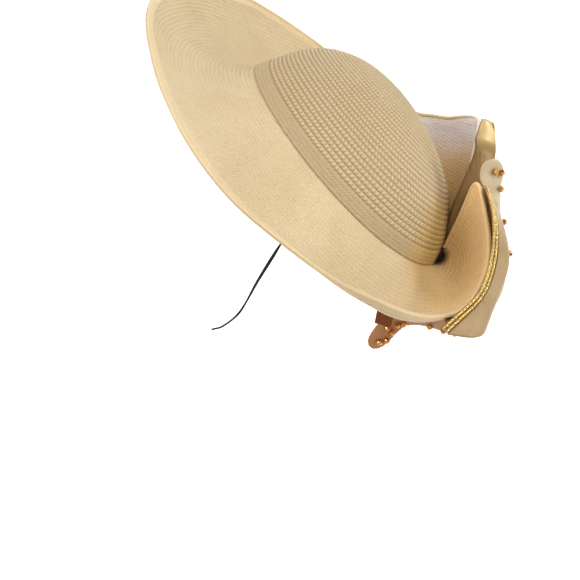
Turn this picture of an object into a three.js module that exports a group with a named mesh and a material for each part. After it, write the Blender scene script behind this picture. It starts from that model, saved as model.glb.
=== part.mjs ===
// Church hat of sewn straw braid: a round crown, a wide brim that droops on the wearer's left, rises on
// the right and is slit and turned up at the back, a gold satin bow in the slit, a cream scroll set with
// amber stones, and a round black elastic under the chin.
// Millimetres, +Z up, as worn: the wearer looks along -X and the wearer's left is -Y. The origin is the
// middle of the head opening. The hat has a frame of its own, tipped back and to the left: x back, y right,
// z up the crown.
import * as THREE from "three";

const WALL = 2; // straw wall
const GAP = 0.3; // clearance between pieces that meet
const TIP_BACK = THREE.MathUtils.degToRad(48);
const TIP_LEFT = THREE.MathUtils.degToRad(20);

// Head opening: an egg, wider at the back.
const OPENING = { halfLength: 106, halfWidth: 88, egg: 0.13 };
const CROWN_HEIGHT = 68;
const BAND = { height: 11, proud: 0.4 }; // smooth braid round the foot of the crown
const SATIN_WALL = 1.2;
const PIPING_RADIUS = 1.4;
const SCROLL_THICK = 3.4;
const ELASTIC_RADIUS = 0.8;
const STONE = { radius: 2.7, depth: 3.4 };
const BEAD_RADIUS = 1.7; // wired edge
const CORNER = 9; // rounding of the brim's two corners at the slit

// Crown sections from the seam to the top: up and size as shares of the height and the opening,
// back in mm.
const CROWN_ROWS = [
  { up: 0, size: 1, back: 0 },
  { up: 0.13, size: 0.965, back: 0 },
  { up: 0.28, size: 0.915, back: -1 },
  { up: 0.44, size: 0.845, back: -3 },
  { up: 0.59, size: 0.755, back: -6 },
  { up: 0.73, size: 0.635, back: -10 },
  { up: 0.85, size: 0.485, back: -14 },
  { up: 0.94, size: 0.315, back: -18 },
  { up: 0.985, size: 0.155, back: -20 },
];
const CROWN_TOP = { up: 1, back: -20 };

// Brim sections from the right lip of the slit, round the front, to the left lip. turn is the place on
// the opening, in degrees from the front, positive to the left; back, side and up are the brim's edge in
// the hat's frame; leave is the slope at the crown in degrees, positive upwards, reach is how far that
// slope holds before the section bends to the edge, and belly is how far the section sags between.
const BRIM_ROWS = [
  { turn: -177, back: 44, side: 64, up: 91, leave: 112, reach: 60, belly: 0 },
  { turn: -168, back: 38, side: 80, up: 86, leave: 94, reach: 54, belly: 0 },
  { turn: -156, back: 31, side: 98, up: 75, leave: 62, reach: 48, belly: 0 },
  { turn: -143, back: 24, side: 114, up: 63, leave: 30, reach: 44, belly: 0 },
  { turn: -130, back: 14, side: 129, up: 52, leave: 2, reach: 44, belly: 0 },
  { turn: -116, back: 1, side: 139, up: 40, leave: -20, reach: 44, belly: 0 },
  { turn: -100, back: -25, side: 147, up: 30, leave: -34, reach: 46, belly: 0 },
  { turn: -84, back: -64, side: 148, up: 21, leave: -42, reach: 50, belly: 0 },
  { turn: -68, back: -111, side: 141, up: 14, leave: -47, reach: 54, belly: 0 },
  { turn: -50, back: -160, side: 115, up: 6, leave: -50, reach: 58, belly: 0 },
  { turn: -33, back: -184, side: 84, up: 0, leave: -50, reach: 60, belly: 0 },
  { turn: -16, back: -202, side: 47, up: -7, leave: -50, reach: 60, belly: 0 },
  { turn: 0, back: -206, side: 0, up: -20, leave: -48, reach: 58, belly: 0 },
  { turn: 16, back: -190, side: -45, up: -28, leave: -44, reach: 54, belly: 0 },
  { turn: 33, back: -159, side: -85, up: -34, leave: -38, reach: 48, belly: 0 },
  { turn: 50, back: -126, side: -121, up: -36, leave: -32, reach: 44, belly: 0 },
  { turn: 68, back: -80, side: -151, up: -38, leave: -28, reach: 42, belly: 0 },
  { turn: 85, back: -32, side: -160, up: -39, leave: -26, reach: 40, belly: 2 },
  { turn: 100, back: 18, side: -154, up: -35, leave: -26, reach: 40, belly: 5 },
  { turn: 116, back: 61, side: -142, up: -30, leave: -26, reach: 40, belly: 9 },
  { turn: 131, back: 95, side: -123, up: -21, leave: -26, reach: 40, belly: 12 },
  { turn: 144, back: 120, side: -105, up: -13, leave: -24, reach: 38, belly: 13 },
  { turn: 154, back: 138, side: -85, up: -1, leave: -16, reach: 38, belly: 12 },
  { turn: 162, back: 144, side: -66, up: 15, leave: -2, reach: 38, belly: 9 },
  { turn: 168, back: 134, side: -48, up: 38, leave: 20, reach: 36, belly: 5 },
  { turn: 172, back: 117, side: -36, up: 54, leave: 48, reach: 34, belly: 2 },
  { turn: 175, back: 97, side: -29, up: 66, leave: 80, reach: 33, belly: 0 },
  { turn: 177, back: 76, side: -21, up: 76, leave: 107, reach: 33, belly: 0 },
];
const BRIM_ACROSS = 8; // steps from crown to edge
const BRIM_BETWEEN = 2; // steps from one section to the next

// Satin sash behind the slit, each line of it from the top hem to the bottom hem: the front end tucked
// in behind the brim, the piped edge, the fold it rolls over and the hat's middle. The right half mirrors
// the left.
const SASH = {
  tuck: [
    { back: 96, side: -11, up: 66 },
    { back: 108, side: -12, up: 49 },
    { back: 131, side: -25, up: 29 },
    { back: 144, side: -44, up: 10 },
    { back: 145, side: -74, up: -3 },
  ],
  edge: [
    { back: 89, side: -21, up: 75 },
    { back: 112, side: -34, up: 66 },
    { back: 134, side: -47, up: 48 },
    { back: 147, side: -67, up: 26 },
    { back: 148, side: -95, up: -5 },
  ],
  fold: [
    { back: 101, side: -15, up: 70 },
    { back: 117, side: -26, up: 66 },
    { back: 138, side: -37, up: 54 },
    { back: 152, side: -52, up: 36 },
    { back: 165, side: -83, up: 8 },
  ],
  middle: [
    { back: 98.5, side: 0, up: 62 },
    { back: 110, side: 0, up: 56.5 },
    { back: 127.5, side: 0, up: 46.5 },
    { back: 142.5, side: 0, up: 34.5 },
    { back: 154, side: 0, up: 22 },
  ],
};
const SASH_LAST = SASH.edge.length - 1;
const SASH_EDGE = 0.8; // where the piped edge lies between the middle, 0, and the tucked end, 1
const RIGHT_PULL = 0.5; // the right half lies closer to the crown

// Satin fold that rises out of the slit, turns over at the top and goes back down: middle line, width.
const FOLD_ROWS = [
  { back: 108.5, side: -1.5, up: 5, wide: 5 },
  { back: 106, side: -2, up: 13, wide: 5.5 },
  { back: 99.5, side: -2, up: 23, wide: 8 },
  { back: 88.5, side: 0, up: 39.5, wide: 12.5 },
  { back: 81, side: 7, up: 63, wide: 20 },
  { back: 68.5, side: 19, up: 82.5, wide: 17 },
  { back: 60, side: 29, up: 89.5, wide: 16.5 },
  { back: 49.5, side: 35.5, up: 98.5, wide: 11 },
  { back: 53.5, side: 39, up: 95, wide: 13.5 },
  { back: 68, side: 28, up: 82, wide: 15.5 },
  { back: 82, side: 13, up: 61.5, wide: 18 },
  { back: 89, side: 4, up: 39, wide: 9 },
  { back: 97, side: 1.5, up: 26, wide: 4.5 },
];

// Padded scroll down the middle of the sash and under the brim. lean turns its width from across the
// hat, 0, towards its own outward side, 90.
const SCROLL_ROWS = [
  { back: 73, side: -15, up: 90.2, wide: 5, lean: 50 },
  { back: 75.5, side: -14.5, up: 88.4, wide: 16, lean: 50 },
  { back: 82.5, side: -12.5, up: 83.2, wide: 23, lean: 46 },
  { back: 91.5, side: -9.5, up: 77.5, wide: 19.5, lean: 32 },
  { back: 102.5, side: -4, up: 70, wide: 12, lean: 6 },
  { back: 113.5, side: -1, up: 61, wide: 13, lean: 4 },
  { back: 131.5, side: 0, up: 50.8, wide: 14, lean: 0 },
  { back: 146.5, side: 0, up: 37.3, wide: 14, lean: 0 },
  { back: 157, side: 0, up: 23.6, wide: 13, lean: 0 },
  { back: 162, side: 0, up: 11, wide: 13, lean: 0 },
  { back: 164, side: 0, up: -3, wide: 13, lean: 0 },
  { back: 162.5, side: 0, up: -17, wide: 17, lean: 28 },
  { back: 153.5, side: -0.5, up: -26.5, wide: 21, lean: 52 },
  { back: 142, side: -0.5, up: -32.5, wide: 22, lean: 56 },
  { back: 130, side: 0, up: -42.5, wide: 20, lean: 58 },
  { back: 122.5, side: 0, up: -54, wide: 18, lean: 60 },
  { back: 121, side: 0, up: -66, wide: 18, lean: 68 },
  { back: 122.5, side: 0, up: -78, wide: 17, lean: 70 },
  { back: 123.5, side: 0, up: -85.5, wide: 13, lean: 70 },
  { back: 124, side: 0, up: -89.5, wide: 6, lean: 70 },
];

// Stones on the scroll: place along it from 0 to 1, and across it as a share of its half width.
const STONE_ROWS = [
  { place: 0.095, across: 0.15 },
  { place: 0.113, across: 0.62 },
  { place: 0.171, across: 0.3 },
  { place: 0.271, across: 0 },
  { place: 0.334, across: 0 },
  { place: 0.618, across: 0.5 },
  { place: 0.65, across: 0.5 },
  { place: 0.7, across: 0.6 },
  { place: 0.787, across: 0.45 },
  { place: 0.813, across: 0.2 },
  { place: 0.85, across: 0.45 },
  { place: 0.847, across: -0.15 },
  { place: 0.887, across: 0.65 },
  { place: 0.913, across: 0.2 },
];

// Satin tail from the nape end of the slit, down below the brim: middle line and width.
const TAIL_ROWS = [
  { back: 108.5, side: -7, up: -5, wide: 9 },
  { back: 114, side: -13, up: -16, wide: 10 },
  { back: 111, side: -25, up: -32, wide: 12 },
  { back: 107, side: -36, up: -45, wide: 14 },
  { back: 110, side: -43, up: -56, wide: 14 },
];

// Elastic in the part's own frame, from inside the crown on the left, under the chin, to the right.
const ELASTIC_ROWS = [
  { x: -25, y: -78, z: -7 },
  { x: -54, y: -76, z: -69 },
  { x: -70, y: -74, z: -95 },
  { x: -84, y: -66, z: -118 },
  { x: -97, y: -44, z: -129 },
  { x: -107, y: -15, z: -132.5 },
  { x: -107, y: 15, z: -133 },
  { x: -101, y: 44, z: -131 },
  { x: -88, y: 66, z: -120 },
  { x: -74, y: 75, z: -94 },
  { x: -56, y: 78, z: -65 },
  { x: 12, y: 76, z: 22 },
];

const CREAM = 0xe6d6b0;

// Cubic through the rows of a table: the value of a column at a place counted in rows.
function along(rows, column, place) {
  const last = rows.length - 1;
  const i = Math.min(Math.max(Math.floor(place), 0), last - 1);
  const t = place - i;
  const value = (k) => rows[k][column];
  const slopeAt = (k) => {
    const [before, after] = [Math.max(k - 1, 0), Math.min(k + 1, last)];
    return (value(after) - value(before)) / (after - before);
  };
  const [a, b, da, db] = [value(i), value(i + 1), slopeAt(i), slopeAt(i + 1)];
  return a + da * t + (3 * (b - a) - 2 * da - db) * t * t + (2 * (a - b) + da + db) * t * t * t;
}

// The point that a table's back, side and up give at a place.
function spot(rows, place) {
  return new THREE.Vector3(along(rows, "back", place), along(rows, "side", place), along(rows, "up", place));
}

// A point of the opening's outline, grown by a margin, and the outward direction there.
function opening(turn, size = 1, margin = 0) {
  const a = THREE.MathUtils.degToRad(turn);
  const { halfLength, halfWidth, egg } = OPENING;
  const at = (x) =>
    new THREE.Vector3(
      -(halfLength * size + margin) * Math.cos(x),
      -(halfWidth * size + margin) * Math.sin(x) * (1 - egg * Math.cos(x)),
      0,
    );
  const step = 0.01;
  const run = at(a + step).sub(at(a - step));
  return { point: at(a), out: new THREE.Vector3(run.y, -run.x, 0).normalize() };
}

// Vertices and faces of one closed body. A corner given twice in a face is dropped.
class Skin {
  constructor() {
    this.xyz = [];
    this.faces = [];
  }
  vertex(p) {
    this.xyz.push(p.x, p.y, p.z);
    return this.xyz.length / 3 - 1;
  }
  triangle(a, b, c) {
    if (a !== b && b !== c && c !== a) this.faces.push(a, b, c);
  }
  quad(a, b, c, d) {
    this.triangle(a, b, c);
    this.triangle(a, c, d);
  }
  geometry() {
    const made = new THREE.BufferGeometry();
    made.setAttribute("position", new THREE.Float32BufferAttribute(this.xyz, 3));
    made.setIndex(this.faces);
    made.computeVertexNormals();
    return made;
  }
}

// A sheet of even thickness round a grid of middle points, grid[i][j]. The front face looks along
// (next i - i) x (next j - j). closed joins the last column to the first; pole makes the last j one point.
function sheet(grid, thick, { closed = false, pole = false } = {}) {
  const columns = grid.length;
  const last = grid[0].length - 1;
  const at = (i, j) => {
    const column = closed ? (i + columns) % columns : Math.min(Math.max(i, 0), columns - 1);
    return grid[column][Math.min(Math.max(j, 0), last)];
  };
  const skin = new Skin();
  const half = thick / 2;
  const layers = [half, -half].map((offset) =>
    grid.map((column, i) =>
      column.map((p, j) => {
        const n = new THREE.Vector3().crossVectors(
          at(i + 1, j).clone().sub(at(i - 1, j)),
          at(i, j + 1).clone().sub(at(i, j - 1)),
        );
        return p.clone().addScaledVector(n.normalize(), offset);
      }),
    ),
  );
  const ids = layers.map((layer) => {
    let tip = null;
    if (pole) {
      const up = new THREE.Vector3(0, 0, layer === layers[0] ? half : -half);
      tip = skin.vertex(grid[0][last].clone().add(up));
    }
    return layer.map((column) => column.map((p, j) => (pole && j === last ? tip : skin.vertex(p))));
  });
  const spans = closed ? columns : columns - 1;
  for (let i = 0; i < spans; i++) {
    const n = (i + 1) % columns;
    for (let j = 0; j < last; j++) {
      skin.quad(ids[0][i][j], ids[0][n][j], ids[0][n][j + 1], ids[0][i][j + 1]);
      skin.quad(ids[1][i][j], ids[1][i][j + 1], ids[1][n][j + 1], ids[1][n][j]);
    }
    skin.quad(ids[0][i][0], ids[1][i][0], ids[1][n][0], ids[0][n][0]);
    if (!pole) skin.quad(ids[0][i][last], ids[0][n][last], ids[1][n][last], ids[1][i][last]);
  }
  if (!closed)
    for (let j = 0; j < last; j++) {
      const e = columns - 1;
      skin.quad(ids[0][0][j], ids[0][0][j + 1], ids[1][0][j + 1], ids[1][0][j]);
      skin.quad(ids[0][e][j], ids[1][e][j], ids[1][e][j + 1], ids[0][e][j + 1]);
    }
  return skin.geometry();
}

// A closed body through rings of points, with flat ends. Each ring turns about the run from ring to ring.
function loft(rings) {
  const skin = new Skin();
  const ids = rings.map((ring) => ring.map((p) => skin.vertex(p)));
  const sides = rings[0].length;
  for (let i = 0; i < rings.length - 1; i++)
    for (let k = 0; k < sides; k++) {
      const n = (k + 1) % sides;
      skin.quad(ids[i][k], ids[i][n], ids[i + 1][n], ids[i + 1][k]);
    }
  const end = ids.length - 1;
  for (let k = 1; k < sides - 1; k++) {
    skin.triangle(ids[0][0], ids[0][k + 1], ids[0][k]);
    skin.triangle(ids[end][0], ids[end][k], ids[end][k + 1]);
  }
  return skin.geometry();
}

// An ellipse of points round a centre, spanned by two directions.
function ellipse(centre, across, wide, up, tall, sides) {
  const ring = [];
  for (let k = 0; k < sides; k++) {
    const a = (2 * Math.PI * k) / sides;
    const point = centre.clone().addScaledVector(across, wide * Math.cos(a));
    ring.push(point.addScaledVector(up, tall * Math.sin(a)));
  }
  return ring;
}

const hat = new THREE.Group();
hat.rotation.set(TIP_LEFT, TIP_BACK, 0, "YXZ");
const part = new THREE.Group();
part.add(hat);

function cloth(color, roughness = 0.8, metalness = 0) {
  return new THREE.MeshStandardMaterial({ color, roughness, metalness });
}

function piece(name, geometry, material, parent = hat) {
  const mesh = new THREE.Mesh(geometry, material);
  mesh.name = name;
  parent.add(mesh);
  return mesh;
}

// Crown surface: turn round the opening, level counted in rows of the crown table.
function crownPoint(turn, level, margin = 0) {
  const { point } = opening(turn, along(CROWN_ROWS, "size", level), margin);
  point.x += along(CROWN_ROWS, "back", level);
  point.z += along(CROWN_ROWS, "up", level) * CROWN_HEIGHT;
  return point;
}

// A straw ring of the crown between two levels, closed at the top where a top point is given.
function ring(name, { from, to, steps, proud, top }) {
  const columns = 48;
  const grid = [];
  for (let i = 0; i < columns; i++) {
    const turn = (-360 * i) / columns;
    const column = [];
    for (let j = 0; j <= steps; j++) {
      column.push(crownPoint(turn, from + ((to - from) * j) / steps, proud - WALL / 2));
    }
    if (top) column.push(top);
    grid.push(column);
  }
  piece(name, sheet(grid, WALL, { closed: true, pole: !!top }), cloth(CREAM));
}

// Brim middle surface. place counts sections, t runs from the crown's seam, 0, to the edge, 1.
function brimPoint(place, t) {
  const turn = along(BRIM_ROWS, "turn", place);
  const leave = THREE.MathUtils.degToRad(along(BRIM_ROWS, "leave", place));
  const { point: root, out } = opening(turn);
  root.addScaledVector(out, 1.9 * Math.sin(leave));
  root.z = -GAP - (WALL / 2) * Math.cos(leave);
  const reach = along(BRIM_ROWS, "reach", place);
  const bend = root.clone().addScaledVector(out, reach * Math.cos(leave));
  bend.z += reach * Math.sin(leave);
  const edge = spot(BRIM_ROWS, place);
  edge.addScaledVector(edge.clone().sub(bend).normalize(), -2 * BEAD_RADIUS - GAP);
  const point = root
    .multiplyScalar((1 - t) * (1 - t))
    .addScaledVector(bend, 2 * t * (1 - t))
    .addScaledVector(edge, t * t);
  point.z -= along(BRIM_ROWS, "belly", place) * 6.75 * t * t * (1 - t);
  return point;
}

// Where the rounded corners cut the brim: the largest t at a place, and how far round the corner it lies.
function corner(place) {
  const last = BRIM_ROWS.length - 1;
  const lip = place < last / 2 ? 0 : last;
  const away = brimPoint(place, 1).distanceTo(brimPoint(lip, 1));
  if (away >= CORNER) return { t: 1, round: 0 };
  const k = 1 - away / CORNER;
  const span = brimPoint(lip, 1).distanceTo(brimPoint(lip, 0));
  return { t: 1 - (CORNER * (1 - Math.sqrt(1 - k * k))) / span, round: (2 * Math.asin(k)) / Math.PI };
}

function brimPlaces() {
  const last = BRIM_ROWS.length - 1;
  const places = [0, 0.07, 0.2, 0.4, 0.65];
  for (let i = BRIM_BETWEEN; i <= (last - 1) * BRIM_BETWEEN; i++) places.push(i / BRIM_BETWEEN);
  return places.concat([0.65, 0.4, 0.2, 0.07, 0].map((x) => last - x));
}

function brim() {
  const grid = brimPlaces().map((place) => {
    const most = corner(place).t;
    const column = [];
    for (let j = 0; j <= BRIM_ACROSS; j++) column.push(brimPoint(place, (most * j) / BRIM_ACROSS));
    return column.reverse();
  });
  piece("brim", sheet(grid, WALL), cloth(CREAM));
}

function tube(name, points, radius, steps, sides, material, parent = hat) {
  const outline = [];
  for (let i = 0; i < sides; i++) {
    const a = (2 * Math.PI * i) / sides;
    outline.push(new THREE.Vector2(radius * Math.cos(a), radius * Math.sin(a)));
  }
  const extrudePath = new THREE.CatmullRomCurve3(points, false, "centripetal");
  const section = new THREE.Shape(outline);
  const geometry = new THREE.ExtrudeGeometry(section, { steps, extrudePath, bevelEnabled: false });
  piece(name, geometry, material, parent);
}

// Wired bead along the whole edge: up one lip of the slit, round the brim and down the other lip.
function binding() {
  const last = BRIM_ROWS.length - 1;
  const lip = [0.22, 0.34, 0.46, 0.6, 0.74, 0.86];
  const stops = [
    ...lip.map((t) => ({ place: 0, t, round: 1 })),
    ...brimPlaces().map((place) => ({ place, ...corner(place) })),
    ...lip.map((t) => ({ place: last, t, round: 1 })).reverse(),
  ];
  const rings = stops.map(({ place, t, round }) => {
    const right = place < last / 2;
    const p = brimPoint(place, t);
    const outward = p.clone().sub(brimPoint(place, t - 0.02)).normalize();
    const sideways = p.clone().sub(brimPoint(right ? place + 0.1 : place - 0.1, t)).normalize();
    const up = new THREE.Vector3().crossVectors(outward, sideways).normalize();
    if (!right) up.negate();
    const a = (Math.PI / 2) * round;
    const out = outward.multiplyScalar(Math.cos(a)).addScaledVector(sideways, Math.sin(a));
    out.addScaledVector(up, -out.dot(up)).normalize();
    p.addScaledVector(out, BEAD_RADIUS + GAP);
    return ellipse(p, out, BEAD_RADIUS, up, BEAD_RADIUS, 6);
  });
  piece("brim_binding", loft(rings), cloth(CREAM));
}

// The direction in which a table's points run at a place.
function runAt(rows, place) {
  const [after, before] = [Math.min(place + 0.05, rows.length - 1), Math.max(place - 0.05, 0)];
  return spot(rows, after).sub(spot(rows, before)).normalize();
}

// A soft strip: rows give its middle line and width, across the direction it spreads in, folds the
// number of pleats along it.
function strip(name, rows, across, { steps, folds, depth, material }) {
  const wide = 6;
  const grid = [];
  for (let i = 0; i <= steps; i++) {
    const place = ((rows.length - 1) * i) / steps;
    const run = runAt(rows, place);
    const spread = across.clone().addScaledVector(run, -across.dot(run)).normalize();
    const face = new THREE.Vector3().crossVectors(run, spread);
    const column = [];
    for (let j = 0; j <= wide; j++) {
      const v = j / wide - 0.5;
      const pleat = depth * Math.sin(2 * Math.PI * folds * v + 0.6);
      const point = spot(rows, place).addScaledVector(spread, along(rows, "wide", place) * v);
      column.push(point.addScaledVector(face, pleat));
    }
    grid.push(column);
  }
  piece(name, sheet(grid, SATIN_WALL), material);
}

// Sash: place counts its rows from the top hem, v runs from the left tuck, -1, to the right one, 1.
function sashPoint(place, v) {
  const [tuck, edge, fold, middle] = [SASH.tuck, SASH.edge, SASH.fold, SASH.middle].map((rows) =>
    spot(rows, place),
  );
  const flat = middle.clone().lerp(fold, 0.5);
  flat.addScaledVector(fold.clone().sub(edge).normalize(), 0.6);
  const k = Math.abs(v);
  const face = new THREE.CatmullRomCurve3([middle, flat, fold, edge], false, "centripetal");
  const point =
    k > SASH_EDGE ? edge.lerp(tuck, (k - SASH_EDGE) / (1 - SASH_EDGE)) : face.getPoint(k / SASH_EDGE);
  if (v > 0) {
    point.y = -point.y;
    const pull = RIGHT_PULL * Math.min(place, 1) * Math.abs(point.y);
    point.addScaledVector(new THREE.Vector3(-0.69, 0, -0.72), pull);
  }
  return point;
}

function sash(material) {
  const tall = 14;
  const across = [-1, -0.9, -0.8, -0.72, -0.62, -0.52, -0.42, -0.32, -0.22, -0.1];
  const columns = [...across, 0, ...across.map((v) => -v).reverse()];
  const grid = [];
  for (let i = 0; i <= tall; i++) {
    const place = (SASH_LAST * i) / tall;
    grid.push(columns.map((v) => sashPoint(place, v)));
  }
  piece("satin_sash", sheet(grid, SATIN_WALL), material);
}

// Two cords side by side in front of each piped edge of the sash.
function piping(material) {
  const steps = 24;
  const ahead = SATIN_WALL / 2 + 2 * GAP + PIPING_RADIUS;
  for (const [side, sign] of [["left", -1], ["right", 1]])
    for (const [which, lane] of [["outer", 0], ["inner", 1]]) {
      const rings = [];
      for (let i = 0; i <= steps; i++) {
        const place = (SASH_LAST * i) / steps;
        const at = (k) => sashPoint(THREE.MathUtils.clamp(k, 0, SASH_LAST), sign * SASH_EDGE);
        const run = at(place + 0.1).sub(at(place - 0.1)).normalize();
        const back = sashPoint(place, sign * 0.6).sub(at(place));
        const out = back.addScaledVector(run, -back.dot(run)).normalize().negate();
        const up = new THREE.Vector3().crossVectors(run, out);
        const centre = at(place).addScaledVector(out, ahead + lane * (2 * PIPING_RADIUS + GAP));
        rings.push(ellipse(centre, out, PIPING_RADIUS, up, PIPING_RADIUS, 6));
      }
      piece("piping_" + side + "_" + which, loft(rings), material());
    }
}

// Frame of the scroll at a share of its length: its middle, width direction, outward face and half width.
function scrollFrame(share) {
  const place = (SCROLL_ROWS.length - 1) * share;
  const run = runAt(SCROLL_ROWS, place);
  const lean = THREE.MathUtils.degToRad(along(SCROLL_ROWS, "lean", place));
  const outward = new THREE.Vector3(-run.z, 0, run.x).normalize();
  const wide = new THREE.Vector3(0, Math.cos(lean), 0).addScaledVector(outward, Math.sin(lean));
  wide.addScaledVector(run, -wide.dot(run)).normalize();
  const face = new THREE.Vector3().crossVectors(run, wide).normalize();
  return { middle: spot(SCROLL_ROWS, place), wide, face, half: along(SCROLL_ROWS, "wide", place) / 2 };
}

function scroll(material) {
  const steps = 32;
  const rings = [];
  for (let i = 0; i <= steps; i++) {
    const { middle, wide, face, half } = scrollFrame(i / steps);
    rings.push(ellipse(middle, wide, half, face, (SCROLL_THICK / 2) * Math.min(1, half / 4), 10));
  }
  piece("scroll", loft(rings), material);
}

// A cut stone: flat back, girdle, eight-sided crown and flat table.
function stones(material) {
  const { radius, depth } = STONE;
  const profile = [
    new THREE.Vector2(0, 0),
    new THREE.Vector2(radius * 0.7, 0),
    new THREE.Vector2(radius, depth * 0.45),
    new THREE.Vector2(radius * 0.6, depth),
    new THREE.Vector2(0, depth),
  ];
  STONE_ROWS.forEach(({ place, across }, i) => {
    const { middle, wide, face, half } = scrollFrame(place);
    const lift = (SCROLL_THICK / 2) * Math.sqrt(1 - across * across) + 2 * GAP;
    const seat = middle.addScaledVector(wide, across * half).addScaledVector(face, lift);
    const name = "stone_" + String(i + 1).padStart(2, "0");
    const mesh = piece(name, new THREE.LatheGeometry(profile, 8), material());
    mesh.position.copy(seat);
    mesh.quaternion.setFromUnitVectors(new THREE.Vector3(0, 1, 0), face);
  });
}

const satin = () => cloth(0xc8ae7c, 0.35, 0.15);
const bandTop = (BAND.height + GAP / 2) / CROWN_HEIGHT / CROWN_ROWS[1].up;

ring("crown_band", { from: 0.02, to: bandTop - 0.05, steps: 2, proud: BAND.proud });
ring("crown", {
  from: bandTop,
  to: CROWN_ROWS.length - 1,
  steps: 9,
  proud: 0,
  top: new THREE.Vector3(CROWN_TOP.back, 0, CROWN_TOP.up * CROWN_HEIGHT),
});
brim();
binding();
sash(satin());
const foldSpread = new THREE.Vector3(0.88, 0.16, 0.44);
strip("satin_fold", FOLD_ROWS, foldSpread, { steps: 26, folds: 2, depth: 0.8, material: satin() });
piping(() => cloth(0xd9b866, 0.3, 0.8));
scroll(cloth(0xdccfb2, 0.4));
stones(() => cloth(0xb8651b, 0.05));
const tailSpread = new THREE.Vector3(0.67, 0.25, 0.7);
strip("satin_tail", TAIL_ROWS, tailSpread, { steps: 8, folds: 1, depth: 0.5, material: satin() });
tube(
  "chin_elastic",
  ELASTIC_ROWS.map(({ x, y, z }) => new THREE.Vector3(x, y, z)),
  ELASTIC_RADIUS,
  60,
  6,
  cloth(0x16110e, 0.7),
  part,
);

export default part;
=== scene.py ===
import math

import bmesh
import bpy
import numpy as np
from mathutils import Matrix, Vector


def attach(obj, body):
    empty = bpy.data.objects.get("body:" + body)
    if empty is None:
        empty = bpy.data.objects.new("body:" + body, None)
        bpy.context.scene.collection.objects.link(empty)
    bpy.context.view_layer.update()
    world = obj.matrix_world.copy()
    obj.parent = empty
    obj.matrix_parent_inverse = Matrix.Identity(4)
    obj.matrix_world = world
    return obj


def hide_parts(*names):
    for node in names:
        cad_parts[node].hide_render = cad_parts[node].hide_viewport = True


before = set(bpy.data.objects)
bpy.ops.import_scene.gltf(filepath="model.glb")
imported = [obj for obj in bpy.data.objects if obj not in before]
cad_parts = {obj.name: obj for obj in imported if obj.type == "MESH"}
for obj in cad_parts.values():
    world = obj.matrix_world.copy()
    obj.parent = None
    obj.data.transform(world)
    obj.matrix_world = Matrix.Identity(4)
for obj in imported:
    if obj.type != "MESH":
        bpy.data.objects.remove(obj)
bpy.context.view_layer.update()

# Church hat of sewn straw braid with a gold satin bow, a padded scroll set with stones and a chin elastic.
# Shapes are worked out in millimetres in the hat's own frame, x back, y right, z up the crown, and turned
# and scaled into the row frame at the end.

TIP_BACK = math.radians(48)
TIP_LEFT = math.radians(20)
HAT_TO_ROW = np.array(Matrix.Rotation(TIP_BACK, 3, "Y") @ Matrix.Rotation(TIP_LEFT, 3, "X"))

WALL = 2.0
GAP = 0.3
BRIM_ROOT = 1.9
BEAD_RADIUS = 1.7
CORNER = 9.0
PIPING_RADIUS = 1.4
SCROLL_THICK = 3.4
STONE_RADIUS = 2.7
STONE_DEPTH = 3.4
BRIM_PITCH = 3.5
STRAND_PITCH = 3.2
ELASTIC_RADIUS = 0.8
SATIN_HALF = 0.6
HEM = 8.0

# Half the length and half the width of the head opening, and how much narrower its egg gets towards the front
OPENING_LONG, OPENING_WIDE, EGG = 106.0, 88.0, 0.13

# up and size as shares of the crown's height and the opening, back in mm
CROWN_HEIGHT = 68.0
CROWN = np.array([
    (0, 1, 0), (0.13, 0.965, 0), (0.28, 0.915, -1), (0.44, 0.845, -3), (0.59, 0.755, -6),
    (0.73, 0.635, -10), (0.85, 0.485, -14), (0.94, 0.315, -18), (0.985, 0.155, -20), (1, 0, -20),
])

# Rows up the crown and steps to a row, how far right of the highest point its tip lies, and the band
CROWN_COUNT = 34
CROWN_STEPS = 4
TIP_ASIDE = 32.0
BAND_HEIGHT = 11
BAND_TOP = (BAND_HEIGHT + GAP / 2) / CROWN_HEIGHT / CROWN[1, 0]
CROWN_LOW = BAND_TOP - 0.17

# turn, back, side, up, leave, reach, belly
BRIM = np.array([
    (-177, 44, 64, 91, 112, 60, 0), (-168, 38, 80, 86, 94, 54, 0), (-156, 31, 98, 75, 62, 48, 0),
    (-143, 24, 114, 63, 30, 44, 0), (-130, 14, 129, 52, 2, 44, 0), (-116, 1, 139, 40, -20, 44, 0),
    (-100, -25, 147, 30, -34, 46, 0), (-84, -64, 148, 21, -42, 50, 0), (-68, -111, 141, 14, -47, 54, 0),
    (-50, -160, 115, 6, -50, 58, 0), (-33, -184, 84, 0, -50, 60, 0), (-16, -202, 47, -7, -50, 60, 0),
    (0, -206, 0, -20, -48, 58, 0), (16, -190, -45, -28, -44, 54, 0), (33, -159, -85, -34, -38, 48, 0),
    (50, -126, -121, -36, -32, 44, 0), (68, -80, -151, -38, -28, 42, 0), (85, -32, -160, -39, -26, 40, 2),
    (100, 18, -154, -35, -26, 40, 5), (116, 61, -142, -30, -26, 40, 9), (131, 95, -123, -21, -26, 40, 12),
    (144, 120, -105, -13, -24, 38, 13), (154, 138, -85, -1, -16, 38, 12), (162, 144, -66, 15, -2, 38, 9),
    (168, 134, -48, 38, 20, 36, 5), (172, 117, -36, 54, 48, 34, 2), (175, 97, -29, 66, 80, 33, 0),
    (177, 76, -21, 76, 107, 33, 0),
])

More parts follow.
